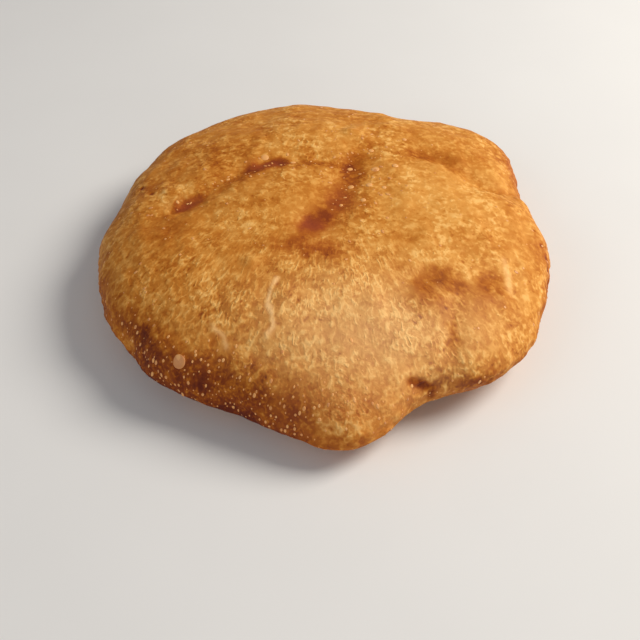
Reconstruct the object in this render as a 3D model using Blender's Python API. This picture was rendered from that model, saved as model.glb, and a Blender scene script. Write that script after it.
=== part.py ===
"""Coconut fry bread: one puffed round of deep-fried flatbread dough, whole and uncut.

Metres, +Z up. The bread rests on three low bumps of its flattened underside at z = 0, its blunt nose
points towards -Y, and the origin is under the middle of its bounding box. It is a single solid.
"""

from math import atan2, cos, degrees, exp, hypot, pi, radians, sin, tan
from random import Random

import bmesh
import bpy
from mathutils import Vector, noise
from mathutils.geometry import intersect_point_line

# Driving sizes
MEAN_REACH = 0.0909         # middle of the bread to its rim, before the lobes
CROWN_HEIGHT = 0.0391       # table to the puffed top, before the relief
RIM_HEIGHT = 0.0150         # table to the widest line round the bread
BACK_LIFT = 0.0040          # how much higher the rim runs at the back, and lower at the nose
UNDERSIDE_SAG = 0.0040      # how far the belly would hang below the table if it had not settled
BELLY_FILLET = 0.0025       # height over which the belly turns into the resting flat

# Low bumps of the belly, spread under the bread, that it rests on: their middles in plan
BELLY_BUMPS = ((-0.0035, 0.0350), (-0.0266, -0.0187), (0.0337, -0.0180))
BELLY_BUMP_WIDTH = 0.0050
BELLY_BUMP_HEIGHT = 0.0003

# The ball of quads that the dough is shaped from
QUADS_PER_SIDE = 31         # odd, so that no corner of a quad falls on a pole
TOP_SPREAD = 0.70           # below 1 crowds the quads towards the top, where the relief is

# Fullness of the profile: 1 is an ellipse, and a lower power gives a flatter face and a blunter rim
TOP_FULLNESS = 0.80
BELLY_FULLNESS = 0.85
TOP_RISE = 0.95
BELLY_DROP = 0.90

# The outline, as lobes on the mean reach: azimuth and half width in degrees, rise, and the power
# with which the lobe fades towards the middle
OUTLINE_LOBES = (
    (15.6, 10.2, -0.0031, 5.0),    # notch on the right
    (41.2, 14.4, 0.0100, 2.5),     # shoulder at the back right
    (75.8, 13.2, -0.0098, 3.0),    # dip beside that shoulder
    (86.0, 38.0, 0.0078, 2.0),     # long back edge
    (137.7, 6.9, 0.0010, 5.0),     # corner at the back left
    (166.0, 8.0, -0.0035, 5.0),    # dent on the left
    (218.8, 3.4, -0.0019, 6.0),    # small flat at the front left
    (248.0, 9.1, -0.0035, 4.0),    # straight run up to the nose
    (274.6, 10.6, 0.0076, 3.0),    # nose
    (296.0, 10.1, -0.0076, 7.0),   # tuck between the nose and the front right lobe
    (312.5, 21.7, 0.0033, 2.5),    # front right lobe
)

# Where the rim lifts off the table or droops: azimuth and half width in degrees, and rise
RIM_LIFTS = (
    (308.0, 18.0, 0.0038),         # the front right lobe arches clear of the table
    (275.0, 14.0, -0.0014),        # the nose droops
)

# Broad swells of the puffed skin: middle and radii in plan, and rise
SWELLS = (
    ((-0.0040, 0.0500), (0.0400, 0.0160), 0.0018),    # behind the long crease
    ((-0.0190, 0.0080), (0.0190, 0.0125), 0.0017),    # tongue between the two creases
    ((0.0500, -0.0020), (0.0240, 0.0200), 0.0018),    # right cheek
    ((0.0000, -0.0540), (0.0420, 0.0180), 0.0022),    # front mound
    ((-0.0640, -0.0240), (0.0160, 0.0240), 0.0014),   # left cheek
    ((0.0400, -0.0505), (0.0090, 0.0060), 0.0010),    # below the first hollow on the right
    ((0.0615, -0.0455), (0.0065, 0.0060), 0.0009),    # below its neighbour
)

# Small hollows in the skin: middle and radii in plan, and depth
HOLLOWS = (
    ((0.0395, -0.0375), (0.0085, 0.0060), 0.0013),    # right of the front mound
    ((0.0625, -0.0355), (0.0065, 0.0055), 0.0012),    # its neighbour, nearer the rim
    ((-0.0045, -0.0105), (0.0075, 0.0060), 0.0016),   # foot of the short crease
    ((-0.0545, 0.0040), (0.0075, 0.0050), 0.0012),    # left end of the long crease
)

# Creases where the skin sank between puffs: points in plan or in space, half width and depth
CREASES = (
    (   # long crease over the left and the back
        ((-0.0640, -0.0010), (-0.0545, 0.0035), (-0.0445, 0.0125), (-0.0345, 0.0215),
         (-0.0225, 0.0280), (-0.0080, 0.0300), (0.0090, 0.0290)),
        0.0050, 0.0024,
    ),
    (   # short crease down the middle
        ((0.0205, 0.0440), (0.0155, 0.0355), (0.0110, 0.0255), (0.0070, 0.0095),
         (0.0030, -0.0015), (-0.0045, -0.0125)),
        0.0068, 0.0030,
    ),
    (   # short crease on the right
        ((0.0340, 0.0375), (0.0465, 0.0380), (0.0555, 0.0305)),
        0.0050, 0.0019,
    ),
    (   # its run out to the notch
        ((0.0555, 0.0305), (0.0660, 0.0220), (0.0750, 0.0205), (0.0880, 0.0290)),
        0.0045, 0.0020,
    ),
    (   # faint fold down the front
        ((0.0460, -0.0480), (0.0470, -0.0590), (0.0450, -0.0760)),
        0.0036, 0.0013,
    ),
    (   # tuck under the front lobe
        ((0.0300, -0.0770, 0.0205), (0.0345, -0.0775, 0.0180), (0.0390, -0.0775, 0.0130)),
        0.0036, 0.0032,
    ),
)
CREASE_RUN_OUT = 0.0090     # length over which a crease gets shallower towards each end
CREASE_END_DEPTH = 0.25     # share of its depth that a crease still has at its very end

# The swells, hollows and creases fade out down the sides, between these two slopes of the skin,
# each given as the upward part of its normal
RELIEF_GONE = -0.16
RELIEF_FULL = 0.47

# Lumps of the fried skin: size and height of each layer
LUMP_LAYERS = ((0.0170, 0.0009), (0.0070, 0.0005))

# Crumpled lip along the rim
LIP_LUMP = 0.0045           # size of a lump
LIP_HEIGHT = 0.0011
LIP_REACH = 0.0060          # how far the crumpling reaches above and below the rim

# Raised bubbles
BUBBLE_COUNT = 46
BUBBLE_SPREAD = (0.0330, 0.0860)    # nearest and farthest from the middle, in plan
BUBBLE_RADIUS = (0.0026, 0.0046)
BUBBLE_RISE = 0.22                  # share of its radius
BUBBLE_SEED = 11

CRUST_COLOUR = (0.60, 0.33, 0.11, 1.0)
CRUST_ROUGHNESS = 0.5


def hump(distance, width):
    """Smooth hump: 1 at distance 0, and about a third where distance equals width."""
    return exp(-((distance / width) ** 2))


def share_between(value, gone, full):
    """0 up to gone, 1 from full on, and a straight rise between."""
    return min(max((value - gone) / (full - gone), 0.0), 1.0)


def turn_between(azimuth, middle):
    """Signed angle from middle to azimuth, in degrees."""
    return (azimuth - middle + 180.0) % 360.0 - 180.0


def settled(height):
    """Height over the table once the belly has settled on it, with a soft turn into the flat."""
    if height > BELLY_FILLET:
        return height
    if height < -BELLY_FILLET:
        return 0.0
    return (height + BELLY_FILLET) ** 2 / (4.0 * BELLY_FILLET)


def smooth_dough(direction):
    """Where a point of the unit ball lands on the bread before any relief."""
    azimuth = degrees(atan2(direction.y, direction.x)) % 360.0
    outward = hypot(direction.x, direction.y)
    upward = direction.z
    reach = MEAN_REACH
    for middle, width, rise, fade in OUTLINE_LOBES:
        reach += rise * hump(turn_between(azimuth, middle), width) * outward ** fade
    reach *= outward ** (TOP_FULLNESS if upward > 0.0 else BELLY_FULLNESS)
    lift = BACK_LIFT * sin(radians(azimuth))
    for middle, width, rise in RIM_LIFTS:
        lift += rise * hump(turn_between(azimuth, middle), width)
    height = RIM_HEIGHT + lift * outward ** 2
    if upward > 0.0:
        height += (CROWN_HEIGHT - height) * upward ** TOP_RISE
    else:
        height -= (height + UNDERSIDE_SAG) * (-upward) ** BELLY_DROP
    return Vector((reach * cos(radians(azimuth)), reach * sin(radians(azimuth)), height))


def rim_level(direction):
    """Height of the rim at the azimuth of a point of the unit ball."""
    level = Vector((direction.x, direction.y, 0.0))
    if level.length == 0.0:
        return RIM_HEIGHT
    return smooth_dough(level.normalized()).z


def patch_share(point, middle, radii):
    """How much of an oval patch's height applies at a point, seen in plan."""
    return hump(hypot((point.x - middle[0]) / radii[0], (point.y - middle[1]) / radii[1]), 1.0)


def crease_share(point, route, width):
    """How much of a crease's depth applies at a point: seen in plan where its route is in plan."""
    in_plan = len(route[0]) == 2
    here = Vector((point.x, point.y, 0.0 if in_plan else point.z))
    walked, nearest, along = 0.0, None, 0.0
    for start, end in zip(route, route[1:]):
        start, end = Vector(start).to_3d(), Vector(end).to_3d()
        _, part = intersect_point_line(here, start, end)
        part = share_between(part, 0.0, 1.0)
        gap = (here - start.lerp(end, part)).length
        length = (end - start).length
        if nearest is None or gap < nearest:
            nearest, along = gap, walked + part * length
        walked += length
    to_end = min(along, walked - along)
    return hump(nearest, width) * min(1.0, CREASE_END_DEPTH + to_end / CREASE_RUN_OUT)


def bump_below(point):
    """How far the low bumps of the belly hang below its flat at a point, seen in plan."""
    radii = (BELLY_BUMP_WIDTH, BELLY_BUMP_WIDTH)
    return BELLY_BUMP_HEIGHT * sum(patch_share(point, middle, radii) for middle in BELLY_BUMPS)


def bubble_spots():
    """Seeded middles, in plan, and radii of the raised bubbles, spread evenly over the area."""
    draw = Random(BUBBLE_SEED)
    near, far = BUBBLE_SPREAD
    spots = []
    for _ in range(BUBBLE_COUNT):
        azimuth = draw.uniform(0.0, 2.0 * pi)
        reach = draw.uniform(near ** 2, far ** 2) ** 0.5
        radius = draw.uniform(*BUBBLE_RADIUS)
        spots.append((reach * cos(azimuth), reach * sin(azimuth), radius))
    return spots


def relief(point, normal, over_rim, bubbles):
    """Rise of the skin along its normal, at a point that lies over_rim above the rim's height."""
    rise = sum(height * patch_share(point, middle, radii) for middle, radii, height in SWELLS)
    rise -= sum(depth * patch_share(point, middle, radii) for middle, radii, depth in HOLLOWS)
    rise -= sum(depth * crease_share(point, route, width) for route, width, depth in CREASES)
    for across, along, radius in bubbles:
        gap = hypot(point.x - across, point.y - along)
        if gap < radius:
            rise += BUBBLE_RISE * radius * (1.0 - (gap / radius) ** 2)
    rise *= share_between(normal.z, RELIEF_GONE, RELIEF_FULL)
    for size, height in LUMP_LAYERS:
        rise += height * noise.noise(point / size)
    rise += LIP_HEIGHT * noise.noise(point / LIP_LUMP) * hump(over_rim, LIP_REACH)
    return rise


def quad_ball(shaping):
    """A unit ball of near-even quads, made from a divided cube and crowded towards the top."""
    bmesh.ops.create_cube(shaping, size=2.0)
    bmesh.ops.subdivide_edges(
        shaping, edges=shaping.edges[:], cuts=QUADS_PER_SIDE - 1, use_grid_fill=True
    )
    for vertex in shaping.verts:
        ray = Vector([tan(part * pi / 4.0) for part in vertex.co]).normalized()
        outward = hypot(ray.x, ray.y)
        half_tilt = TOP_SPREAD * outward / (1.0 + ray.z)
        scale = 2.0 * half_tilt / (1.0 + half_tilt ** 2) / outward
        upward = (1.0 - half_tilt ** 2) / (1.0 + half_tilt ** 2)
        vertex.co = Vector((ray.x * scale, ray.y * scale, upward))


def raise_skin(shaping):
    """Moves the ball's vertices to the smooth dough, out or in by the relief, and settles them."""
    over_rims = {}
    for vertex in shaping.verts:
        direction = vertex.co.copy()
        vertex.co = smooth_dough(direction)
        over_rims[vertex] = vertex.co.z - rim_level(direction)
    shaping.normal_update()
    bubbles = bubble_spots()
    raised = {}
    for vertex, over_rim in over_rims.items():
        rise = relief(vertex.co, vertex.normal, over_rim, bubbles)
        raised[vertex] = vertex.co + vertex.normal * rise
    for vertex, place in raised.items():
        vertex.co = Vector((place.x, place.y, settled(place.z)))
        if over_rims[vertex] < 0.0:
            vertex.co.z -= bump_below(place)


def stand_on_origin(shaping):
    """Brings the middle of the bounding box over the origin in plan, and its underside to z = 0."""
    places = [vertex.co for vertex in shaping.verts]
    low = Vector([min(place[axis] for place in places) for axis in range(3)])
    high = Vector([max(place[axis] for place in places) for axis in range(3)])
    middle = (low + high) / 2.0
    bmesh.ops.translate(shaping, verts=shaping.verts[:], vec=(-middle.x, -middle.y, -low.z))


def crust_material():
    crust = bpy.data.materials.new("fried_crust")
    crust.use_nodes = True
    shader = crust.node_tree.nodes["Principled BSDF"]
    shader.inputs["Base Color"].default_value = CRUST_COLOUR
    shader.inputs["Roughness"].default_value = CRUST_ROUGHNESS
    shader.inputs["Metallic"].default_value = 0.0
    return crust


def clear_scene():
    for thing in list(bpy.data.objects):
        bpy.data.objects.remove(thing, do_unlink=True)


def build_bread():
    shaping = bmesh.new()
    quad_ball(shaping)
    raise_skin(shaping)
    stand_on_origin(shaping)
    mesh = bpy.data.meshes.new("fry_bread")
    shaping.to_mesh(mesh)
    shaping.free()
    mesh.materials.append(crust_material())
    mesh.shade_smooth()
    bread = bpy.data.objects.new("fry_bread", mesh)
    collection = bpy.data.collections.new("coconut_fry_bread")
    bpy.context.scene.collection.children.link(collection)
    collection.objects.link(bread)


clear_scene()
build_bread()
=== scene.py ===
# Looks of the coconut fry bread: its fried crust with creases, fibres, pits and blisters, on a pale
# floor under soft light. Metres, +Z up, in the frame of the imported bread: its blunt nose points to
# -Y. The marks of the skin and the numbers for them are in millimetres, with browning, paleness and
# shares up to about 1. Azimuths are in degrees, 0 at +X and 90 at +Y.

from collections import namedtuple
from math import pi, radians

import bmesh
import bpy
import numpy as np
from mathutils import Matrix, Vector, noise
from mathutils.bvhtree import BVHTree


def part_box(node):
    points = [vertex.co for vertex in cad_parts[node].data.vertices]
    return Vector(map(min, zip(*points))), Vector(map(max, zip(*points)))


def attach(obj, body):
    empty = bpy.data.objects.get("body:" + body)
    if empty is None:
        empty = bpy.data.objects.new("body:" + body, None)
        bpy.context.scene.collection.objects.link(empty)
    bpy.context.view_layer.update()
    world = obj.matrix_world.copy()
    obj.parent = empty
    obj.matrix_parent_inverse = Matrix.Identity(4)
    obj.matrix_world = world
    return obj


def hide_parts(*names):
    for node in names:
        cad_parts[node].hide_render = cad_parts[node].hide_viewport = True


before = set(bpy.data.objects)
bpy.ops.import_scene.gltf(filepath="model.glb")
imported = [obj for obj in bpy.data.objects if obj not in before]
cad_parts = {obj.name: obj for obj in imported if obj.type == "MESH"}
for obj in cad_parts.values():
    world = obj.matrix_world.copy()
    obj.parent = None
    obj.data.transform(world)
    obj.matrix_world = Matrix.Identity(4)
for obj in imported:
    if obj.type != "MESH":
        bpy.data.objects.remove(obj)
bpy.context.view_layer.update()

MM = 0.001

# Camera, as the photo was taken
CAMERA_PLACE = (-1.4 * MM, -316.8 * MM, 289.4 * MM)
CAMERA_PITCH = 44.65          # degrees below level
CAMERA_LENS, CAMERA_SENSOR = 57.8, 36.0
CAMERA_CLIP = 0.01

# Crust mesh
MERGE_GAP = 0.001 * MM
CRUST_LEVELS = 2
BOX_MARGIN = 0.05 * MM        # the crust stays this far inside the box of the solid

# Relief of the skin: size and height of each layer
FIBRE_SIZE, FIBRE_HEIGHT = 2.4 * MM, 0.20 * MM
FIBRE_STRETCH = 0.45          # how slowly a fibre changes down the slope
GRAIN_SIZE, GRAIN_HEIGHT = 3.2 * MM, 0.20 * MM
RIPPLE_SIZE, RIPPLE_HEIGHT = 9.0 * MM, 0.55 * MM
LIP_SIZE, LIP_HEIGHT = 4.6 * MM, 0.9 * MM
NIB_SIZE, NIB_HEIGHT = 2.6 * MM, 0.65 * MM
SLEEK_RELIEF_LOSS = 0.5       # share of the fibres and the grain that sleek skin loses
FAN_CENTRE = (0.0, 35.0 * MM) # the fibres on the wall run away from this point, in plan
FAN_REACH = 100.0 * MM
FAN_START = (36.0, 84.0)      # the skin turns from grain to fibres between these distances from it
FAN_AZIMUTHS = (168.0, 212.0, 304.0, 345.0)   # and only on the front, between these azimuths

# Where the skin is top, wall, lip or underside: how far up it faces there, from -1 to 1
TOP_FACING = (-0.1, 0.4)
WALL_FACING = (-0.5, 0.0)
LIP_FACING = 0.45
UNDER_FACING = (-0.2, -0.6)

# Creases where the skin sank: plan points, half width, depth of the groove, and browning. Skin that
# bridges a crease is a groove with a depth below 0
LONG_CREASE_RUNS = 3            # the first ones are the long crease
CREASE_BLUR = 1.5               # a crease is browned this many times wider than its groove
CREASES = (
    (((-62, 2), (-55, 4.5), (-45, 13), (-35, 22), (-28, 25.5)), 2.6, 0.05, 0.11),
    (((-28, 25.5), (-23, 28), (-19, 30)), 2.8, 0.10, 0.08),
    (((-19, 30), (-8, 30), (10, 29)), 2.0, 0.15, 0.15),
    (((-57, 3), (-45, 11.5), (-35, 20.5), (-22, 27.5), (-8, 29.5), (4, 29)), 5.0, -1.15, 0.0),
    (((20, 43), (15, 35), (11, 27), (6, 8), (0, -5), (-5, -12)), 3.6, 0.10, 0.12),
    (((15, 35), (11, 26), (7, 10), (2, -3)), 6.0, -0.95, 0.0),
    (((34, 38.5), (46, 38.5), (55, 31)), 2.2, 0.20, 0.10),
    (((64, 22.5), (70, 20.5), (80, 24), (90, 30)), 1.5, 0.45, 0.10),
    (((46, -50), (46, -60), (45, -70)), 1.8, 0.15, 0.04),
)

# The tuck under the front lobe: points, half width, depth and browning
TUCK = (
    ((30, -77, 22.5), (34, -75.5, 19.5), (38, -75.4, 16.7), (38.3, -75.7, 12.7)), 1.8, 0.5, 0.27
)

# Brown stains with a clear edge: plan points of their middle line, half width, and browning
STAINS = (
    (((-57, 5), (-50.5, 8)), 3.9, 0.26),                      # left end of the long crease
    (((-28.5, 26), (-23.5, 28.5), (-18, 30)), 4.0, 0.27),     # its darkest stretch
    (((12, 34), (11.5, 13), (8, 4.5), (2.5, -1), (-3, -9)), 4.6, 0.15),   # the second crease
    (((-0.5, -5), (-5, -13.5)), 4.4, 0.22),                   # its dark foot
    (((36, -41.5), (39.5, -36), (44, -35.5), (47.5, -41)), 5.1, 0.21),    # larger hollow
    (((59, -38.5), (61, -34), (64, -33.5), (66, -38.5)), 3.5, 0.22),      # smaller hollow
    (((48, -39.5), (57, -40.5)), 1.3, 0.05),                  # between the two
)

# Softer browned and pale patches, among them painted highlights and painted shade: middle, radii,
# and browning, below 0 where they are pale
PATCHES = (
    ((-36, 18, 36), (12, 6, 7), 0.10),       # beside the long crease
    ((-4, 28.5, 37), (12, 3.4, 6), 0.14),
    ((4, 2, 37), (11, 14, 9), 0.12),         # round the second crease
    ((-12, -22, 39), (11, 5.5, 8), 0.27),    # below its foot
    ((0, -26, 39), (9, 5, 8), 0.28),
    ((6, -33, 39), (3, 4, 5), 0.12),
    ((17, 38, 35), (5, 7, 8), 0.10),
    ((45, 38, 35), (12, 4.5, 6), 0.20),      # round the short crease on the right
    ((55, 31, 33), (4, 4, 5), 0.14),
    ((-58, -10, 34), (13, 9, 8), 0.15),      # smooth brown skin on the left, with brown specks
    ((-58, -26, 32), (16, 11, 10), 0.09),
    ((-66, 0, 31), (10, 8, 8), 0.08),
    ((-41, -16, 37), (5, 3.4, 6), 0.14),
    ((-31, -25, 38), (9, 3.2, 6), 0.14),
    ((-26, 0, 40), (7, 2.6, 6), 0.18),
    ((-52, -37, 34), (5, 3.4, 6), 0.14),
    ((-44, 43, 35), (4, 2.4, 5), 0.16),
    ((-46, 33, 36), (4, 2.4, 5), 0.14),
    ((-72, 20, 30), (4, 5, 5), 0.18),
    ((46, 4, 38), (4, 2.2, 5), 0.18),
    ((32, -19, 38), (6, 2, 5), 0.13),
    ((28, -34, 37), (4, 2.6, 5), 0.11),
    ((37, -49, 34), (9, 6, 7), 0.31),        # below the two hollows on the right
    ((61, -45, 30), (6, 5, 6), 0.12),
    ((4, -84, 24), (12, 9, 9), 0.03),        # the nose
    ((46, -60, 30), (2.4, 5.5, 6), 0.22),
    ((-66, -50, 22), (10, 6, 6), 0.04),
    ((-85, -26, 19), (5, 10, 8), 0.18),
    ((-6, -89, 20), (7, 6, 7), 0.10),        # left of the nose
    ((8, -91, 20), (5, 4, 5), 0.08),
    ((56, -72, 17), (9, 5, 4), 0.26),        # under the front lobe
    ((-45, 40, 34), (30, 20, 12), 0.10),     # back left
    ((-40, -52, 32), (16, 12, 12), 0.05),
    ((0, 40, 38), (30, 8, 8), -0.08),        # pale swells: painted highlights where they face the light
    ((-14, 2, 40), (10, 9, 8), -0.07),
    ((42, -27, 37), (9, 4.5, 6), -0.14),
    ((58, -4, 35), (14, 9, 8), -0.05),
    # painted highlight: the light band down the right edge
    ((75, -35, 26), (4, 14, 10), -0.10),
    ((12, -58, 35), (24, 16, 12), -0.09),    # pale middle of the wall: painted highlight on the front mound
    ((5, -96, 13), (11, 5, 4), 0.12),        # painted shade: a contact shadow under the tip of the nose
    ((36, -66, 27), (16, 9, 9), 0.04),
    ((80, 52, 22), (5, 9, 6), 0.20),         # right rim
    ((83, 37, 21), (4, 7, 6), 0.16),
    ((86, -6, 24), (3, 7, 5), 0.14),
    ((88.5, -16, 17), (3, 5, 5), 0.16),
    ((-8.8, -52.9, 37.8), (1.1, 2.4, 3), 0.24),    # small brown pits in the front wall
    ((-52.5, -46.4, 32.2), (1.2, 2.2, 3), 0.20),
    ((-42.1, -53.5, 32.5), (1.2, 2.2, 3), 0.20),
    ((-39.4, -64.7, 29.1), (1.2, 2.2, 3), 0.22),
    ((34, -76, 19), (7, 4, 5), 0.12),        # round the tuck
    ((-17, -40, 38), (14, 9, 8), 0.07),      # evenly browner skin
    ((22, 17, 39), (10, 9, 8), 0.08),
    ((-28, -62, 34), (15, 10, 10), 0.07),
    ((-62, -36, 31), (12, 10, 10), 0.08),
    ((4, 57, 35), (13, 9, 10), -0.11),
    ((44, 8, 37), (20, 18, 10), -0.19),
    ((-74, -52, 15), (7, 5, 3.5), -0.30),    # pale strip low on the left
    ((2, -94, 17), (3, 3, 3), -0.32),        # pale tip of the nose
    ((26, -86, 14), (4.5, 4, 4), -0.16),     # pale edge right of the nose: painted light bounced up from the floor
)
CHANGE_SIZE, CHANGE = 6.0, 0.28 # the browning of a mark changes by this share, over this distance
WANDER_SEED = 3
WANDER_SIZE, WANDER = 4.5, 2.0  # the edges of the marks wander this far
STAIN_WANDER, TUCK_WANDER, VEIN_WANDER = 0.55, 0.15, 0.45   # shares of it for sharper marks
SLEEK_GAIN = 2.2                # skin that a mark browned is sleek, and full at 1 / this browning

# The dark band low on the front left: it is full between two heights, and between two azimuths
BAND_HEIGHTS = (4.0, 8.5, 20.5, 32.0)
BAND_AZIMUTHS = (192.0, 222.0, 252.0, 276.0)
BAND_BROWNING = 0.46
BAND_FOOT_HEIGHTS, BAND_FOOT_PAINTED_SHADE = (15.0, 9.0), 0.16   # below them it is darker still: painted shade along its low edge

# The paler, milkier skin of the front wall: middle, radii and share
MILKY_SPOTS = (((16.0, -62.0, 30.0), (40.0, 24.0, 18.0), 1.0),)
MILKY_DOUGH, MILKY_SHARE = (0.92, 0.64, 0.38, 1.0), 0.26
MILKY_LOSS = 3.0                # it is gone where a mark's browning is above 1 / this

# Reddened skin in the creases, and on the bulges below the hollows a rosy tint that is painted
# sheen: middle, radii and share
ROSY_AND_SHEEN_DOUGH = (0.42, 0.085, 0.028, 1.0)
ROSY_AND_SHEEN_SPOTS = (
    ((-54, 6.5, 33), (6, 4, 5), 0.55),
    ((-24, 28.5, 36.5), (7, 3.5, 5), 0.50),
    ((-4, -11, 38), (6, 5, 6), 0.55),
    ((7, 5, 37), (6, 12, 7), 0.32),
    ((-4, -24, 39), (14, 6, 6), 0.20),
    # painted sheen: a rosy tint on the bulge below the larger hollow
    ((37, -50.5, 36), (7, 4.5, 5), 0.14),
    ((4, -88, 20), (24, 9, 11), 0.20),
    ((82, 45, 21), (6, 14, 6), 0.18),
    ((87, -8, 22), (4, 9, 7), 0.18),
    # painted sheen: a rosy tint on the bulge below the smaller hollow
    ((60.2, -45.5, 31.7), (5, 4, 5), 0.12),
)

# The skin is browner at the back, between these azimuths, where it faces up about this far
BACK_AZIMUTHS = (20.0, 60.0, 160.0, 200.0)
BACK_FACING, BACK_SPREAD = 0.4, 0.45
BACK_BROWNING = 0.10
LIP_BROWNING, UNDER_BROWNING = 0.17, 0.10

PALE_VEINS = (                # points, half width, height, and paleness from 0 to 1
    (((-17, -41, 38), (-19.6, -47.7, 37.7), (-19.8, -53, 37), (-18.4, -58, 36.2), (-18, -62, 35),
      (-20.5, -67, 33)), 0.8, 0.20, 1.0),
    (((-39.6, -59, 32), (-36, -63, 30.6), (-34.5, -67, 29)), 0.9, 0.12, 0.6),
    (((9, -51, 37), (9.5, -56, 36)), 1.0, 0.10, 0.5),
    (((68, -24, 31), (69, -31, 30), (69, -38, 28)), 1.5, 0.10, 0.4),
)
VEIN_DOUGH, VEIN_SHARE = (1.0, 0.60, 0.27, 1.0), 0.85
PIT_BROWNING = 0.5
PITS = (                      # middle, radius, depth
    ((88.7, -17.8, 14.8), 1.1, 1.3),
    ((84.5, 1.0, 26.0), 0.9, 0.5),
    ((86.6, -6.0, 24.0), 0.9, 0.5),
    ((88.0, -11.0, 21.5), 1.0, 0.6),
    ((88.6, -14.5, 18.5), 0.9, 0.5),
    ((-75.1, 24.3, 28.9), 1.3, 0.6),
    ((-69.7, 16.5, 31.9), 1.1, 0.5),
    ((2.5, -94.0, 16.8), 0.8, 0.6),
)

# How thickly the skin blistered: all over, in the band, on the lip, along the long crease as far as
# a number of its half widths, in spots (middle, radii and share), and the share that the underside
# loses
BLISTERED_ALL, BLISTERED_BAND, BLISTERED_LIP = 0.05, 0.85, 0.1
BLISTERED_CREASE, BLISTERED_REACH = 0.3, 2.5
BLISTERED_SPOTS = (
    ((14, 22, 36), (16, 26, 12), 0.4),
    ((2, -88, 20), (26, 9, 11), 0.8),
)
BLISTERED_UNDER_LOSS = 0.9

# Small blisters
BLISTER_SEED = 4
BLISTER_GAP = 1.2 * MM
BLISTER_DENSITY = 150000.0    # most in a square metre
BLISTER_RADII = (0.24 * MM, 0.68 * MM)
BLISTER_SMALLNESS = 2.2       # the higher, the more of them are near the smallest radius
BLISTER_FLATNESS = 0.20
BLISTER_LENGTHS = (1.0, 1.9)  # how many times longer than wide, up the slope
BLISTER_SEGMENTS, BLISTER_RINGS = 8, 5

# Large blisters: middle, radius, height and browning
LARGE_BLISTERS = (
    ((-51.3, -68.3, 23.2), 2.6, 0.40, 1.00),
    ((21.1, 25.1, 38.3), 1.8, 0.5, 0.15),
    ((29.4, 26.8, 38.3), 1.4, 0.5, 0.00),
    ((18.2, 13.4, 39.1), 1.4, 0.5, 0.10),
    ((15.5, 3.3, 39.4), 1.1, 0.4, 0.15),
    ((11.1, 13.5, 37.0), 1.3, 0.4, 0.20),
    ((11.0, 27.3, 35.2), 1.3, 0.4, 0.25),
    ((24.1, 11.6, 39.4), 1.0, 0.4, 0.10),
    ((6.9, 2.0, 37.0), 0.8, 0.4, 0.25),
    ((20.1, 39.6, 35.1), 1.2, 0.4, 0.20),
    ((34.6, 49.3, 35.5), 1.0, 0.4, 0.15),
    ((-12.5, 29.9, 36.8), 1.2, 0.4, 0.15),
    ((-24.2, 34.2, 37.3), 1.7, 0.4, 0.25),
)
LARGE_BLISTER_SINK = 0.25     # share of its height that its middle lies below the skin
LARGE_BLISTER_SEGMENTS, LARGE_BLISTER_RINGS = 24, 12

# Colours of fried dough, for a browning from 0 to 1
DOUGH_COLOURS = (
    (0.00, (0.90, 0.50, 0.150)),
    (0.22, (0.75, 0.345, 0.072)),
    (0.42, (0.58, 0.212, 0.028)),
    (0.60, (0.43, 0.120, 0.010)),
    (0.80, (0.25, 0.050, 0.007)),
    (1.00, (0.13, 0.020, 0.008)),
)
PLAIN_BROWNING = 0.40         # browning of skin without a mark
RISE_TONE, VEIN_TONE = -0.14, -0.30   # what raised skin and veins add to it

# Patterns of the skin. Each is a noise with lumps of a size, cut by a soft step between two of its
# values. It adds its tone to the browning, and its bump to the fine relief
Pattern = namedtuple("Pattern", "size step tone bump", defaults=(None, 0.0, 0.0))
VARIETY = Pattern(20.0 * MM, (0.36, 0.64))
VARIETY_RANGE = (0.68, 1.38)  # the other patterns are weaker and stronger by turns
MILKY_VARIETY = 0.35          # and stronger on milky skin
MOTTLE = Pattern(15.0 * MM, tone=0.32)
PATCHY = Pattern(5.0 * MM, tone=0.52)
BLOTCHES = Pattern(2.3 * MM, (0.44, 0.72), -0.23, 0.6)
WORMS = Pattern(3.4 * MM, (0.075, 0.0), -0.16, 0.5)
WORM_GAPS = Pattern(3.0 * MM, (0.50, 0.66))
FIBRES = Pattern(1.7 * MM, (0.47, 0.70), -0.22, 0.6)
LOOPS = Pattern(2.4 * MM, (0.11, 0.0), -0.24, 0.8)
LOOP_GAPS = Pattern(3.6 * MM, (0.46, 0.62))
PORES = Pattern(1.7 * MM, (0.34, 0.24), 0.18)
LIGHT_SPECKS = Pattern(1.6 * MM, (0.60, 0.76), -0.17, 0.6)
DARK_SPECKS = Pattern(1.6 * MM, (0.38, 0.24), 0.12)
GRANULES = Pattern(1.1 * MM, (0.52, 0.68), -0.16, 0.8)
FINE_GRAIN = Pattern(0.9 * MM, bump=0.6)

# Share of the patterns that is lost in the band, on the wall, on the lip and on sleek skin
BAND_PATTERN_LOSS, WALL_PATTERN_LOSS, LIP_PATTERN_LOSS, SLEEK_PATTERN_LOSS = 0.35, 0.5, 0.4, 0.55

BUMP_STRENGTH, BUMP_DISTANCE = 0.9, 0.15 * MM
CRUST_ROUGHNESS, SLEEK_GLOSS = 0.60, 0.08   # sleek skin is smoother by this
CRUST_SPECULAR = 0.10

# Skin of the blisters: its browning, what their own browning adds to it, and two tints over it
BLISTER_BROWNING, BLISTER_TOASTING = -0.22, 0.45
BLISTER_TINT = Pattern(5.0 * MM, tone=0.20)
BLISTER_FINE_TINT = Pattern(1.2 * MM, tone=0.40)
BLISTER_PINK, BLISTER_PINK_SHARE = (0.90, 0.44, 0.19, 1.0), 0.45
BLISTER_ROUGHNESS, BLISTER_SPECULAR = 0.32, 0.30

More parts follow.
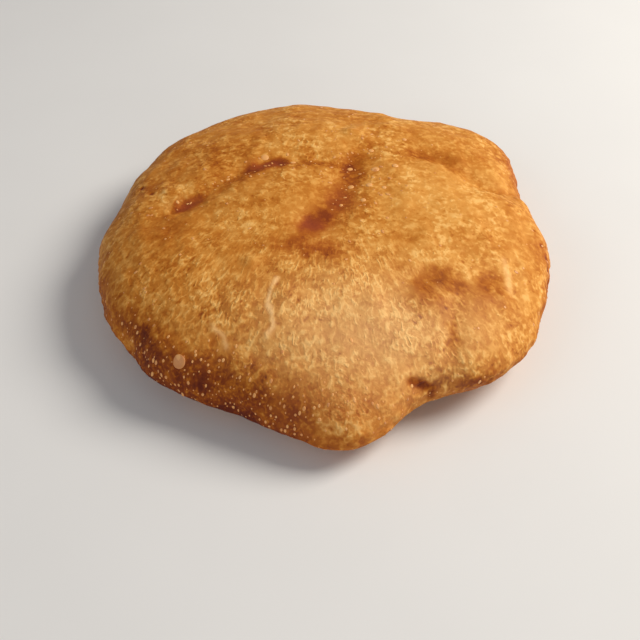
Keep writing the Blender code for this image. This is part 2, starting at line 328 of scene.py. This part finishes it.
# Floor and light: name, place, size, power and colour of each lamp
FLOOR_REACH = 3.0
FLOOR_GRAIN, FLOOR_SHADES = 60.0 * MM, (0.78, 0.82)
FLOOR_ROUGHNESS = 0.7
LAMPS = (
    ("key", (0.80, 0.22, 0.75), 0.60, 12.45, (1.0, 0.94, 0.85)),
    ("fill", (-0.9, -0.45, 0.6), 0.9, 1.9, (0.96, 0.96, 0.98)),
    ("low_front_fill", (0.15, -1.0, 0.30), 0.8, 1.7, (1.0, 0.95, 0.88)),
)
ROOM_COLOUR, ROOM_STRENGTH = (0.98, 0.98, 1.0, 1.0), 0.22


def fade(values, start, full):
    """0 up to start and 1 from full on, with a soft rise between; start may be above full."""
    share = np.clip((values - start) / (full - start), 0.0, 1.0)
    return share * share * (3.0 - 2.0 * share)


def between(values, bounds):
    """1 between the two middle bounds and 0 past the two outer ones, with soft steps."""
    first, first_full, last_full, last = bounds
    return fade(values, first, first_full) * fade(values, last, last_full)


def hump(distance, width):
    """1 at a distance of 0, and falling off softly over the width."""
    return np.exp(-((distance / width) ** 2))


def plateau(distance, width):
    """1 over most of the width, with a clearer edge than a hump."""
    return np.exp(-((distance / width) ** 4))


def spots(places, table):
    """The sum of the table's soft spots, each with a middle, three radii and a share."""
    return sum(
        share * np.exp(-(((places - middle) / radii) ** 2).sum(axis=1))
        for middle, radii, share in table
    )


def away_from_route(places, route):
    """Distance from a route of straight runs, in plan where the route's points are in plan."""
    route = np.array(route, float)
    places = places[:, :route.shape[1]]
    nearest = np.full(len(places), np.inf)
    for start, end in zip(route, route[1:]):
        run = end - start
        share = np.clip((places - start) @ run / (run @ run), 0.0, 1.0)
        gap = np.linalg.norm(places - start - share[:, None] * run, axis=1)
        nearest = np.minimum(nearest, gap)
    return nearest


class Tree:
    """Adds nodes to a node tree. An input is given as a value, or as the output that feeds it."""

    def __init__(self, tree):
        self.tree = tree

    def add(self, kind, inputs=None, **settings):
        node = self.tree.nodes.new(kind)
        for name, value in settings.items():
            setattr(node, name, value)
        for key, value in (inputs or {}).items():
            if isinstance(value, bpy.types.NodeSocket):
                self.tree.links.new(value, node.inputs[key])
            else:
                node.inputs[key].default_value = value
        return node

    def link(self, output, shader, name):
        self.tree.links.new(output, shader.inputs[name])

    def math(self, operation, *values):
        return self.add("ShaderNodeMath", dict(enumerate(values)), operation=operation).outputs[0]

    def total(self, *values):
        result = values[0]
        for value in values[1:]:
            result = self.math("ADD", result, value)
        return result

    def times(self, *values):
        result = values[0]
        for value in values[1:]:
            result = self.math("MULTIPLY", result, value)
        return result

    def less(self, *values):
        """What the product of the values leaves of 1."""
        return self.math("SUBTRACT", 1.0, self.times(*values))

    def centred(self, value):
        return self.math("SUBTRACT", value, 0.5)

    def mix(self, share, first, second):
        """A colour that turns from the first to the second with the share."""
        node = self.add("ShaderNodeMix", {0: share, 6: first, 7: second}, data_type="RGBA")
        return node.outputs[2]

    def span(self, value, start, full, low=0.0, high=1.0):
        """Soft step of a value: low up to start, high from full on."""
        node = self.add(
            "ShaderNodeMapRange",
            {"Value": value, "From Min": start, "From Max": full, "To Min": low, "To Max": high},
            interpolation_type="SMOOTHSTEP",
        )
        return node.outputs["Result"]

    def noise(self, place, size, detail=2.0, roughness=0.5, distortion=0.0, seed=0.0):
        """Noise with lumps of about the given size, from 0 to 1."""
        node = self.add(
            "ShaderNodeTexNoise",
            {
                "Vector": place, "W": seed, "Scale": 1.0 / size, "Detail": detail,
                "Roughness": roughness, "Distortion": distortion,
            },
            noise_dimensions="4D",
        )
        return node.outputs["Fac"]

    def lumps(self, pattern, place, **settings):
        """A pattern's lumps: where its noise is past the pattern's step."""
        return self.span(self.noise(place, pattern.size, **settings), *pattern.step)

    def lines(self, pattern, place, **settings):
        """A pattern's lines: where its noise is near its middle value."""
        middle = self.centred(self.noise(place, pattern.size, **settings))
        return self.span(self.math("ABSOLUTE", middle), *pattern.step)


def add_object(name, data):
    thing = bpy.data.objects.new(name, data)
    bpy.context.scene.collection.objects.link(thing)
    return thing


def plain_mesh(thing, name):
    """Replaces an object's mesh by its evaluated one and clears its modifiers."""
    seen = thing.evaluated_get(bpy.context.evaluated_depsgraph_get())
    mesh = bpy.data.meshes.new_from_object(seen)
    mesh.name = name
    thing.modifiers.clear()
    thing.data = mesh
    return mesh


def coordinates(mesh):
    places = np.zeros(len(mesh.vertices) * 3)
    mesh.vertices.foreach_get("co", places)
    return places.reshape(-1, 3)


def normals(mesh):
    facing = np.zeros(len(mesh.vertices) * 3, np.float32)
    mesh.vertices.foreach_get("normal", facing)
    return facing.reshape(-1, 3).astype(float)


def paint(mesh, name, values):
    """Stores a number, or a vector, at every vertex under a name that nodes can read."""
    if values.ndim == 1:
        layer = mesh.attributes.new(name, "FLOAT", "POINT")
        layer.data.foreach_set("value", values.astype(np.float32))
    else:
        layer = mesh.attributes.new(name, "FLOAT_VECTOR", "POINT")
        layer.data.foreach_set("vector", values.astype(np.float32).ravel())


def crust_cage(solid):
    """A closed copy of the solid bread, with its triangles paired back into quads."""
    shaping = bmesh.new()
    shaping.from_mesh(solid.data)
    bmesh.ops.remove_doubles(shaping, verts=shaping.verts[:], dist=MERGE_GAP)
    bmesh.ops.join_triangles(
        shaping, faces=shaping.faces[:], angle_face_threshold=pi, angle_shape_threshold=pi
    )
    mesh = bpy.data.meshes.new("crust")
    shaping.to_mesh(mesh)
    shaping.free()
    for leftover in ("custom_normal", "sharp_edge"):
        if leftover in mesh.attributes:
            mesh.attributes.remove(mesh.attributes[leftover])
    mesh.shade_smooth()
    return add_object("crust", mesh)


def refine(thing, levels):
    smoothing = thing.modifiers.new("smoothing", "SUBSURF")
    smoothing.levels = smoothing.render_levels = levels
    return plain_mesh(thing, thing.name)


def wandering(places, size):
    """Smooth seeded noise at every place: three numbers within about -1 to 1."""
    noise.seed_set(WANDER_SEED)
    return np.array(
        [noise.turbulence_vector(Vector(place) / size, 2, False) for place in places]
    )


def mark_skin(mesh):
    """Stores at every vertex how the skin is there: its slope, sinking, browning and blistering."""
    metres, facing = coordinates(mesh), normals(mesh)
    true_places = metres / MM
    wander = wandering(true_places, WANDER_SIZE)

    def astray(share):
        return true_places + share * WANDER * wander

    places = astray(1.0)
    change = 1.0 + CHANGE * wandering(true_places[:, ::-1], CHANGE_SIZE)[:, 0]
    heights = places[:, 2]
    azimuth = np.degrees(np.arctan2(places[:, 1], places[:, 0])) % 360.0
    upward = facing[:, 2]
    top, under = fade(upward, *TOP_FACING), fade(upward, *UNDER_FACING)
    lip = hump(upward, LIP_FACING)
    from_fan = np.linalg.norm(places[:, :2] - np.array(FAN_CENTRE) / MM, axis=1)
    wall = fade(from_fan, *FAN_START) * fade(upward, *WALL_FACING) * between(azimuth, FAN_AZIMUTHS)
    band = between(heights, BAND_HEIGHTS) * between(azimuth, BAND_AZIMUTHS)
    back = between(azimuth, BACK_AZIMUTHS)

    sunk = np.zeros(len(places))
    browned = spots(places, PATCHES) * change
    for route, width, depth, browning in CREASES:
        away = away_from_route(places, route)
        sunk += depth * hump(away, width) * top
        browned += browning * hump(away, width * CREASE_BLUR) * top * change
    for route, width, browning in STAINS:
        away = away_from_route(astray(STAIN_WANDER), route)
        browned += browning * plateau(away, width) * top * change
    for middle, radius, depth in PITS:
        near = hump(np.linalg.norm(true_places - middle, axis=1), radius)
        sunk += depth * near
        browned += PIT_BROWNING * near
    route, width, depth, browning = TUCK
    away = away_from_route(astray(TUCK_WANDER), route)
    sunk += depth * hump(away, width)
    browned += browning * plateau(away, width)
    sleek = np.clip(browned * SLEEK_GAIN, 0.0, 1.0)
    milky = spots(places, MILKY_SPOTS) * (1.0 - band)
    milky *= 1.0 - np.clip(MILKY_LOSS * browned, 0.0, 1.0)

    # painted shade: the low edge of the band is darkened further
    foot_shade = BAND_FOOT_PAINTED_SHADE * fade(heights, *BAND_FOOT_HEIGHTS)
    browned += (BAND_BROWNING + foot_shade) * band * change
    browned += BACK_BROWNING * back * hump(upward - BACK_FACING, BACK_SPREAD)
    browned += LIP_BROWNING * lip * (1.0 - band) * (1.0 - back) + UNDER_BROWNING * under

    vein = np.zeros(len(places))
    for route, width, height, paleness in PALE_VEINS:
        near = hump(away_from_route(astray(VEIN_WANDER), route), width)
        sunk -= height * near
        vein = np.maximum(vein, paleness * near)

    outwards = metres[:, :2] - FAN_CENTRE
    reach = np.linalg.norm(outwards, axis=1)
    outwards *= FAN_REACH / reach[:, None]
    flow = np.column_stack([outwards, (metres[:, 2] - reach) * FIBRE_STRETCH])

    blistered = BLISTERED_ALL + BLISTERED_BAND * band + BLISTERED_LIP * lip
    blistered += spots(places, BLISTERED_SPOTS)
    for route, width, _, _ in CREASES[:LONG_CREASE_RUNS]:
        away = away_from_route(places, route)
        blistered += BLISTERED_CREASE * hump(away, BLISTERED_REACH * width) * top
    blistered *= 1.0 - BLISTERED_UNDER_LOSS * under

    for name, values in {
        "top": top, "wall": wall, "lip": lip, "sunk": sunk * MM, "browned": browned,
        "vein": vein, "sleek": sleek, "flow": flow, "band": band, "milky": milky,
        "rosy_and_sheen": spots(places, ROSY_AND_SHEEN_SPOTS), "blistered": np.clip(blistered, 0.0, 1.0),
    }.items():
        paint(mesh, name, values)


def new_geometry_group(name, sizes, skin, seed=None):
    """An empty group of geometry nodes with an input for each size, the seed and the material."""
    group = bpy.data.node_groups.new(name, "GeometryNodeTree")
    face = group.interface
    face.new_socket("Geometry", in_out="INPUT", socket_type="NodeSocketGeometry")
    for title, size in sizes.items():
        socket = face.new_socket(title, in_out="INPUT", socket_type="NodeSocketFloat")
        socket.default_value = size
    if seed is not None:
        socket = face.new_socket("Seed", in_out="INPUT", socket_type="NodeSocketInt")
        socket.default_value = seed
    face.new_socket(skin, in_out="INPUT", socket_type="NodeSocketMaterial")
    face.new_socket("Geometry", in_out="OUTPUT", socket_type="NodeSocketGeometry")
    tree = Tree(group)
    return group, tree, tree.add("NodeGroupInput").outputs


def end_geometry(tree, geometry, material):
    """Ends a group: realizes its instances and gives it its material."""
    whole = tree.add("GeometryNodeRealizeInstances", {"Geometry": geometry}).outputs[0]
    dressed = tree.add("GeometryNodeSetMaterial", {"Geometry": whole, "Material": material})
    tree.add("NodeGroupOutput", {"Geometry": dressed.outputs[0]})


def skin_relief_group():
    """Geometry nodes that raise fibres, grain, ripples and the crumpled lip along the normals."""
    group, tree, given = new_geometry_group(
        "skin_relief",
        {
            "Fibre size": FIBRE_SIZE, "Fibre height": FIBRE_HEIGHT,
            "Grain size": GRAIN_SIZE, "Grain height": GRAIN_HEIGHT,
            "Ripple size": RIPPLE_SIZE, "Ripple height": RIPPLE_HEIGHT,
            "Lip size": LIP_SIZE, "Lip height": LIP_HEIGHT,
            "Nib size": NIB_SIZE, "Nib height": NIB_HEIGHT,
        },
        "Crust",
    )
    place = tree.add("GeometryNodeInputPosition").outputs["Position"]
    facing = tree.add("GeometryNodeInputNormal").outputs["Normal"]

    def mark(name, kind="FLOAT"):
        node = tree.add("GeometryNodeInputNamedAttribute", {"Name": name}, data_type=kind)
        return node.outputs[0]

    def layer(title, where, share, detail, distortion, seed):
        """A layer's noise from -1 to 1 times its share, and the height that it adds."""
        size, height = given[title + " size"], given[title + " height"]
        scaled = tree.add("ShaderNodeVectorMath", {0: where, 1: size}, operation="DIVIDE")
        lumps = tree.noise(
            scaled.outputs[0], 1.0, detail=detail, distortion=distortion, seed=seed
        )
        lumps = tree.math("MULTIPLY_ADD", lumps, 2.0, -1.0)
        return tree.times(lumps, share), tree.times(lumps, share, height)

    plain = tree.less(mark("sleek"), SLEEK_RELIEF_LOSS)
    wall, flat = tree.times(mark("wall"), plain), tree.times(tree.less(mark("wall")), plain)
    flow, lip = mark("flow", "FLOAT_VECTOR"), mark("lip")
    fibre_tone, fibres = layer("Fibre", flow, wall, detail=2.0, distortion=0.4, seed=1.0)
    grain_tone, grain = layer("Grain", place, flat, detail=2.0, distortion=0.8, seed=2.0)
    _, ripples = layer("Ripple", place, 1.0, detail=2.0, distortion=0.3, seed=3.0)
    _, crumple = layer("Lip", place, lip, detail=1.0, distortion=0.3, seed=4.0)
    _, nibs = layer("Nib", place, lip, detail=1.0, distortion=0.5, seed=17.0)
    height = tree.total(fibres, grain, ripples, crumple, nibs)
    height = tree.math("SUBTRACT", height, mark("sunk"))
    offset = tree.add("ShaderNodeVectorMath", {0: facing, "Scale": height}, operation="SCALE")
    stored = tree.add(
        "GeometryNodeStoreNamedAttribute",
        {
            "Geometry": given["Geometry"], "Name": "rise",
            "Value": tree.total(fibre_tone, grain_tone),
        },
        data_type="FLOAT", domain="POINT",
    )
    moved = tree.add(
        "GeometryNodeSetPosition",
        {"Geometry": stored.outputs["Geometry"], "Offset": offset.outputs[0]},
    )
    end_geometry(tree, moved.outputs[0], given["Crust"])
    return group


def set_input(modifier, name, value):
    """Sets a modifier's input by the identifier of its socket."""
    for item in modifier.node_group.interface.items_tree:
        if item.item_type == "SOCKET" and item.in_out == "INPUT" and item.name == name:
            modifier[item.identifier] = value


def keep_in_box(mesh):
    """Presses the highest lumps back, so that the mesh stays in the solid's box and on its flat."""
    low, high = (np.array(corner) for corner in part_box("fry_bread"))
    places = np.clip(coordinates(mesh), low + (BOX_MARGIN, BOX_MARGIN, 0.0), high - BOX_MARGIN)
    mesh.vertices.foreach_set("co", places.astype(np.float32).ravel())
    mesh.update()


def make_crust():
    crust = crust_cage(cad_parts["fry_bread"])
    mesh = refine(crust, CRUST_LEVELS)
    mesh.materials.clear()
    mark_skin(mesh)
    relief = crust.modifiers.new("relief", "NODES")
    relief.node_group = skin_relief_group()
    set_input(relief, "Crust", crust_material())
    mesh = plain_mesh(crust, "crust")
    keep_in_box(mesh)
    mesh.shade_smooth()
    return crust


def blister_group():
    """Geometry nodes that scatter small domes over the skin, thicker where it blistered."""
    group, tree, given = new_geometry_group(
        "blister_scatter",
        {
            "Gap": BLISTER_GAP, "Density": BLISTER_DENSITY, "Smallest radius": BLISTER_RADII[0],
            "Largest radius": BLISTER_RADII[1], "Flatness": BLISTER_FLATNESS,
            "Shortest": BLISTER_LENGTHS[0], "Longest": BLISTER_LENGTHS[1],
        },
        "Blister skin",
        seed=BLISTER_SEED,
    )

    def chance(offset, **limits):
        seed = tree.math("ADD", given["Seed"], offset) if offset else given["Seed"]
        node = tree.add("FunctionNodeRandomValue", {**limits, "Seed": seed}, data_type="FLOAT")
        return node.outputs[1]

    blistered = tree.add(
        "GeometryNodeInputNamedAttribute", {"Name": "blistered"}, data_type="FLOAT"
    )
    points = tree.add(
        "GeometryNodeDistributePointsOnFaces",
        {
            "Mesh": given["Geometry"], "Distance Min": given["Gap"],
            "Density Max": given["Density"], "Density Factor": blistered.outputs[0],
            "Seed": given["Seed"],
        },
        distribute_method="POISSON",
    )
    dome = tree.add(
        "GeometryNodeMeshUVSphere",
        {"Segments": BLISTER_SEGMENTS, "Rings": BLISTER_RINGS, "Radius": 1.0},
    ).outputs["Mesh"]
    dome = tree.add("GeometryNodeSetShadeSmooth", {"Geometry": dome}).outputs[0]
    radius = tree.add(
        "ShaderNodeMapRange",
        {
            "Value": tree.math("POWER", chance(0.0), BLISTER_SMALLNESS),
            "To Min": given["Smallest radius"], "To Max": given["Largest radius"],
        },
    ).outputs["Result"]
    longer = chance(1.0, Min=given["Shortest"], Max=given["Longest"])
    size = tree.add(
        "ShaderNodeCombineXYZ",
        {
            "X": radius, "Y": tree.times(radius, longer),
            "Z": tree.times(radius, given["Flatness"]),
        },
    ).outputs[0]
    upright = tree.add(
        "FunctionNodeAlignRotationToVector",
        {"Rotation": points.outputs["Rotation"], "Vector": (0.0, 0.0, 1.0)},
        axis="Y", pivot_axis="Z",
    ).outputs[0]
    placed = tree.add(
        "GeometryNodeInstanceOnPoints",
        {
            "Points": points.outputs["Points"], "Instance": dome,
            "Rotation": upright, "Scale": size,
        },
    ).outputs[0]
    toasted = tree.add(
        "GeometryNodeStoreNamedAttribute",
        {"Geometry": placed, "Name": "browned", "Value": chance(2.0)},
        data_type="FLOAT", domain="INSTANCE",
    ).outputs["Geometry"]
    end_geometry(tree, toasted, given["Blister skin"])
    return group


def make_blisters(crust):
    blisters = add_object("blisters", crust.data.copy())
    scatter = blisters.modifiers.new("scatter", "NODES")
    scatter.node_group = blister_group()
    set_input(scatter, "Blister skin", blister_material())
    mesh = plain_mesh(blisters, "blisters")
    keep_in_box(mesh)
    return blisters


def make_large_blisters(crust):
    """The few large blisters, as low domes on the skin at their places."""
    faces = [tuple(face.vertices) for face in crust.data.polygons]
    skin = BVHTree.FromPolygons([tuple(place) for place in coordinates(crust.data)], faces)
    shaping = bmesh.new()
    browned = []
    for middle, radius, height, browning in LARGE_BLISTERS:
        foot, facing, _, _ = skin.find_nearest(Vector(middle) * MM)
        sunk_foot = Matrix.Translation(foot - facing * LARGE_BLISTER_SINK * height * MM)
        turn = facing.to_track_quat("Z", "Y").to_matrix().to_4x4()
        size = Matrix.Diagonal((radius * MM, radius * MM, height * MM, 1.0))
        bmesh.ops.create_uvsphere(
            shaping, u_segments=LARGE_BLISTER_SEGMENTS, v_segments=LARGE_BLISTER_RINGS,
            radius=1.0, matrix=sunk_foot @ turn @ size,
        )
        browned += [browning] * (len(shaping.verts) - len(browned))
    mesh = bpy.data.meshes.new("large_blisters")
    shaping.to_mesh(mesh)
    shaping.free()
    mesh.shade_smooth()
    mesh.materials.append(bpy.data.materials["blister_skin"])
    paint(mesh, "browned", np.array(browned))
    return add_object("large_blisters", mesh)


def dough_colour(tree, browning):
    """Colour of fried dough for its browning, from pale to dark."""
    ramp = tree.add("ShaderNodeValToRGB", {"Fac": browning})
    stops = ramp.color_ramp.elements
    while len(stops) < len(DOUGH_COLOURS):
        stops.new(0.5)
    for stop, (position, colour) in zip(stops, DOUGH_COLOURS):
        stop.position = position
        stop.color = (*colour, 1.0)
    return ramp.outputs["Color"]


def new_material(name):
    """A material with one shader, given with its tree, the shader and the place on the object."""
    material = bpy.data.materials.new(name)
    material.use_nodes = True
    material.node_tree.nodes.clear()
    tree = Tree(material.node_tree)
    shader = tree.add("ShaderNodeBsdfPrincipled")
    tree.add("ShaderNodeOutputMaterial", {"Surface": shader.outputs[0]})
    return material, tree, shader, tree.add("ShaderNodeTexCoord").outputs["Object"]


def crust_material():
    material, tree, shader, place = new_material("fried_crust")

    def mark(name):
        return tree.add("ShaderNodeAttribute", attribute_name=name).outputs["Fac"]

    flow = tree.add("ShaderNodeAttribute", attribute_name="flow").outputs["Vector"]
    wall, sleek, milky, vein = mark("wall"), mark("sleek"), mark("milky"), mark("vein")
    even = tree.less(mark("band"), BAND_PATTERN_LOSS)
    level = tree.less(wall, WALL_PATTERN_LOSS)
    calm_lip = tree.less(mark("lip"), LIP_PATTERN_LOSS)
    fibrous = tree.times(wall, even)
    variety = tree.noise(place, VARIETY.size, detail=1.0, seed=18.0)
    variety = tree.span(variety, *VARIETY.step, *VARIETY_RANGE)
    variety = tree.total(variety, tree.times(milky, MILKY_VARIETY))
    plain = tree.times(even, variety, tree.less(sleek, SLEEK_PATTERN_LOSS))

    mottle = tree.centred(tree.noise(place, MOTTLE.size, seed=5.0))
    patchy = tree.centred(tree.noise(place, PATCHY.size, distortion=0.3, seed=6.0))
    blotches = tree.lumps(
        BLOTCHES, place, detail=1.0, roughness=0.45, distortion=0.3, seed=7.0
    )
    blotches = tree.times(blotches, level, calm_lip)
    worms = tree.lines(WORMS, place, detail=0.5, distortion=0.3, seed=13.0)
    worms = tree.times(worms, tree.lumps(WORM_GAPS, place, seed=8.0), level)
    fibres = tree.lumps(FIBRES, flow, detail=1.5, distortion=0.15, seed=9.0)
    fibres = tree.times(fibres, fibrous)
    loops = tree.lines(LOOPS, flow, detail=0.5, distortion=0.15, seed=14.0)
    loops = tree.times(loops, tree.lumps(LOOP_GAPS, place, seed=15.0), fibrous)
    pores = tree.times(tree.lumps(PORES, flow, detail=0.5, seed=16.0), fibrous)
    light_specks = tree.lumps(LIGHT_SPECKS, place, detail=0.5, seed=10.0)
    dark_specks = tree.lumps(DARK_SPECKS, place, detail=0.5, seed=10.0)
    granules = tree.lumps(GRANULES, place, detail=0.5, seed=20.0)
    granules = tree.times(granules, mark("blistered"))
    fine_grain = tree.noise(place, FINE_GRAIN.size, detail=1.0, seed=11.0)

    browning = tree.total(
        mark("browned"), PLAIN_BROWNING,
        tree.times(granules, GRANULES.tone),
        tree.times(mottle, MOTTLE.tone, even),
        tree.times(patchy, PATCHY.tone, plain),
        tree.times(mark("rise"), RISE_TONE),
        tree.times(blotches, plain, BLOTCHES.tone),
        tree.times(worms, plain, WORMS.tone),
        tree.times(fibres, plain, FIBRES.tone),
        tree.times(loops, plain, LOOPS.tone),
        tree.times(pores, plain, PORES.tone),
        tree.times(light_specks, plain, LIGHT_SPECKS.tone),
        tree.times(dark_specks, plain, DARK_SPECKS.tone),
        tree.times(vein, VEIN_TONE),
    )
    # rosy tint: reddened skin in the creases, and painted sheen on the bulges below the hollows
    colour = tree.mix(mark("rosy_and_sheen"), dough_colour(tree, browning), ROSY_AND_SHEEN_DOUGH)
    colour = tree.mix(tree.times(milky, MILKY_SHARE), colour, MILKY_DOUGH)
    colour = tree.mix(tree.times(vein, VEIN_SHARE), colour, VEIN_DOUGH)
    tree.link(colour, shader, "Base Color")

    height = tree.total(
        tree.times(worms, WORMS.bump), tree.times(fibres, FIBRES.bump),
        tree.times(loops, LOOPS.bump), tree.times(blotches, BLOTCHES.bump),
        tree.times(light_specks, LIGHT_SPECKS.bump), tree.times(granules, GRANULES.bump),
        tree.times(fine_grain, FINE_GRAIN.bump),
    )
    bump = tree.add(
        "ShaderNodeBump",
        {
            "Strength": BUMP_STRENGTH, "Distance": BUMP_DISTANCE,
            "Height": tree.times(height, plain),
        },
    )
    tree.link(bump.outputs["Normal"], shader, "Normal")
    roughness = tree.math("SUBTRACT", CRUST_ROUGHNESS, tree.times(sleek, SLEEK_GLOSS))
    tree.link(roughness, shader, "Roughness")
    shader.inputs["Specular IOR Level"].default_value = CRUST_SPECULAR
    return material


def blister_material():
    material, tree, shader, place = new_material("blister_skin")
    browned = tree.add("ShaderNodeAttribute", attribute_name="browned").outputs["Fac"]
    tint = tree.noise(place, BLISTER_TINT.size, seed=12.0)
    fine_tint = tree.noise(place, BLISTER_FINE_TINT.size, seed=19.0)
    browning = tree.total(
        tree.times(browned, BLISTER_TOASTING), tree.times(tint, BLISTER_TINT.tone),
        tree.times(fine_tint, BLISTER_FINE_TINT.tone), BLISTER_BROWNING,
    )
    colour = tree.mix(BLISTER_PINK_SHARE, dough_colour(tree, browning), BLISTER_PINK)
    tree.link(colour, shader, "Base Color")
    shader.inputs["Roughness"].default_value = BLISTER_ROUGHNESS
    shader.inputs["Specular IOR Level"].default_value = BLISTER_SPECULAR
    return material


def floor_material():
    material, tree, shader, place = new_material("pale_floor")
    grain = tree.noise(place, FLOOR_GRAIN)
    shade = tree.add(
        "ShaderNodeMapRange",
        {"Value": grain, "To Min": FLOOR_SHADES[0], "To Max": FLOOR_SHADES[1]},
    ).outputs[0]
    colour = tree.add("ShaderNodeCombineColor", {"Red": shade, "Green": shade, "Blue": shade})
    tree.link(colour.outputs[0], shader, "Base Color")
    shader.inputs["Roughness"].default_value = FLOOR_ROUGHNESS
    return material


def make_floor():
    shaping = bmesh.new()
    bmesh.ops.create_grid(shaping, x_segments=1, y_segments=1, size=FLOOR_REACH)
    mesh = bpy.data.meshes.new("floor")
    shaping.to_mesh(mesh)
    shaping.free()
    mesh.materials.append(floor_material())
    add_object("floor", mesh)


def light_stage():
    for name, place, size, power, colour in LAMPS:
        light = bpy.data.lights.new(name, "AREA")
        light.shape = "DISK"
        light.size = size
        light.energy = power
        light.color = colour
        lamp = add_object(name, light)
        lamp.location = place
        lamp.rotation_euler = Vector(place).to_track_quat("Z", "Y").to_euler()
    world = bpy.data.worlds.new("soft_room")
    world.use_nodes = True
    backdrop = world.node_tree.nodes["Background"]
    backdrop.inputs["Color"].default_value = ROOM_COLOUR
    backdrop.inputs["Strength"].default_value = ROOM_STRENGTH
    bpy.context.scene.world = world
    bpy.context.scene.view_settings.view_transform = "Standard"


def place_camera():
    camera = add_object("camera", bpy.data.cameras.new("camera"))
    camera.data.lens = CAMERA_LENS
    camera.data.sensor_width = CAMERA_SENSOR
    camera.data.clip_start = CAMERA_CLIP
    camera.location = CAMERA_PLACE
    camera.rotation_euler = (radians(90.0 - CAMERA_PITCH), 0.0, 0.0)
    bpy.context.scene.camera = camera


crust = make_crust()
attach(crust, "root")
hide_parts("fry_bread")

blisters = make_blisters(crust)
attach(blisters, "root")

large_blisters = make_large_blisters(crust)
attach(large_blisters, "root")

make_floor()
light_stage()
place_camera()
